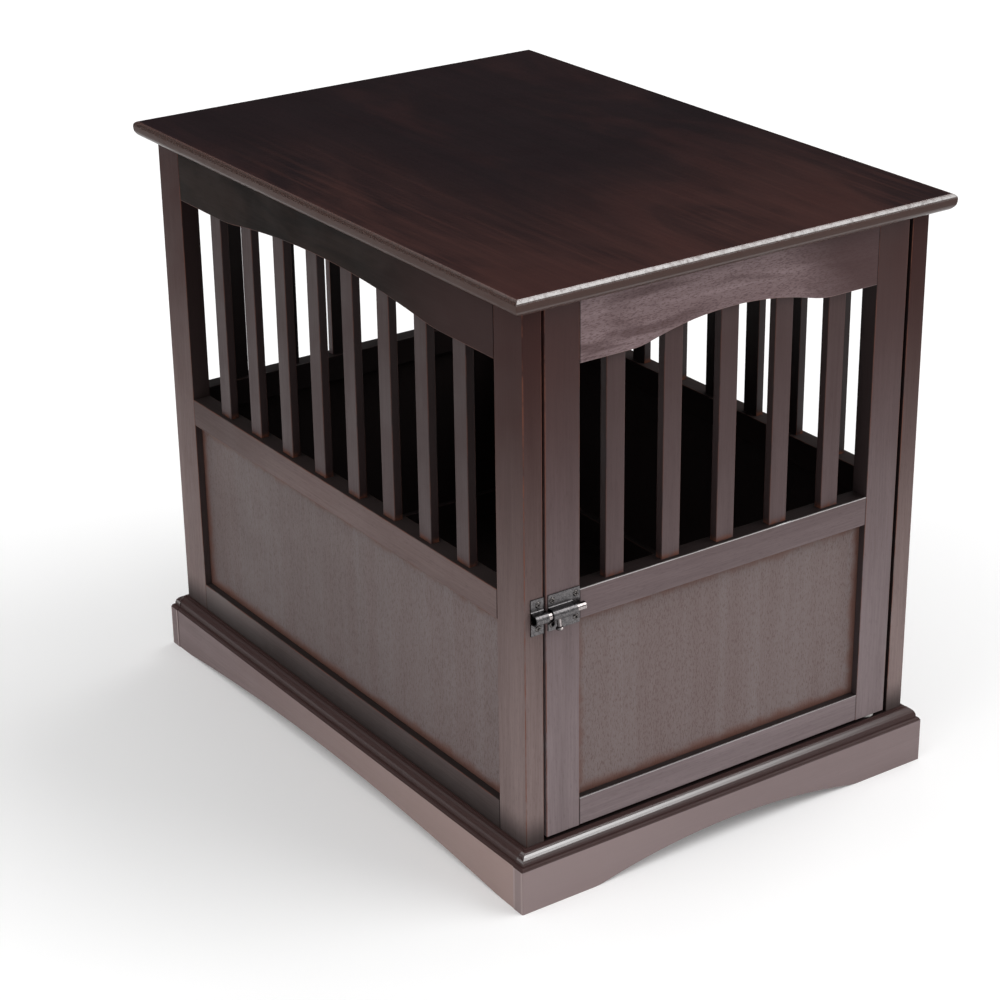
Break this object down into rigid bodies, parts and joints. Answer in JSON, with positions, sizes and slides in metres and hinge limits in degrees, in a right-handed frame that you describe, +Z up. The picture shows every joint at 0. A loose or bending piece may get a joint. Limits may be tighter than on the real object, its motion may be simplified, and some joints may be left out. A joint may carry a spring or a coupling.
{
  "type": "dog crate end table",
  "caption": "Wooden pet crate used as an end table: moulded top, slatted frames over veneered panels, arched skirted base, pivoting front door with a barrel bolt.",
  "frame": {"origin": "on the floor, under the middle of the table top", "axes": "+Z up; the door faces -Y; +Y runs along the long side to the back; +X is to the right of someone who faces the door"},
  "size_m": [0.508, 0.6984, 0.6096],
  "materials": {
    "top_wood": "satin espresso stain, streaky grain along the length",
    "frame_wood": "satin espresso stain over solid wood",
    "slat_wood": "satin espresso stain, redder at the feet",
    "panel_veneer": "stained open-pored veneer",
    "skirt_wood": "satin espresso stain, glossy along the moulding",
    "inner_wood": "dark stain, matt",
    "dark_nickel": "dark nickel plating",
    "pin_steel": "plain steel",
    "nylon": "white nylon"
  },
  "bodies": {
    "carcass": {"table_top": "top_wood", "left_front_stile": "frame_wood", "left_rear_stile": "frame_wood", "left_top_rail": "frame_wood", "left_middle_rail": "frame_wood", "left_bottom_rail": "frame_wood", "left_panel": "panel_veneer", "left_slat_1": "slat_wood", "left_slat_2": "slat_wood", "left_slat_3": "slat_wood", "left_slat_4": "slat_wood", "left_slat_5": "slat_wood", "left_slat_6": "slat_wood", "left_slat_7": "slat_wood", "left_slat_8": "slat_wood", "right_front_stile": "frame_wood", "right_rear_stile": "frame_wood", "right_top_rail": "frame_wood", "right_middle_rail": "frame_wood", "right_bottom_rail": "frame_wood", "right_panel": "panel_veneer", "right_slat_1": "slat_wood", "right_slat_2": "slat_wood", "right_slat_3": "slat_wood", "right_slat_4": "slat_wood", "right_slat_5": "slat_wood", "right_slat_6": "slat_wood", "right_slat_7": "slat_wood", "right_slat_8": "slat_wood", "back_top_rail": "frame_wood", "back_middle_rail": "frame_wood", "back_bottom_rail": "frame_wood", "back_panel": "panel_veneer", "front_skirt": "skirt_wood", "back_skirt": "skirt_wood", "left_skirt": "skirt_wood", "right_skirt": "skirt_wood", "front_sill": "frame_wood", "floor_panel": "inner_wood", "left_floor_cleat": "inner_wood", "right_floor_cleat": "inner_wood", "lower_pivot_pin": "pin_steel", "upper_pivot_pin": "pin_steel", "pivot_washer": "nylon", "door_stop": "inner_wood", "latch_keeper": "dark_nickel"},
    "door": {"door_latch_stile": "frame_wood", "door_hinge_stile": "frame_wood", "door_top_rail": "frame_wood", "door_middle_rail": "frame_wood", "door_bottom_rail": "frame_wood", "door_panel": "panel_veneer", "door_slat_1": "slat_wood", "door_slat_2": "slat_wood", "door_slat_3": "slat_wood", "door_slat_4": "slat_wood", "door_slat_5": "slat_wood", "latch_body": "dark_nickel"},
    "bolt": {"latch_bolt": "dark_nickel", "latch_knob": "dark_nickel"}
  },
  "joints": [
    {"name": "door_hinge", "type": "hinge", "parent": "carcass", "child": "door", "pos_m": [0.195, -0.3205, 0.062], "axis": [0, 0, 1], "range_deg": [0, 115]},
    {"name": "bolt_slide", "type": "slide", "parent": "door", "child": "bolt", "axis": [1, 0, 0], "range_m": [0, 0.012]}
  ]
}
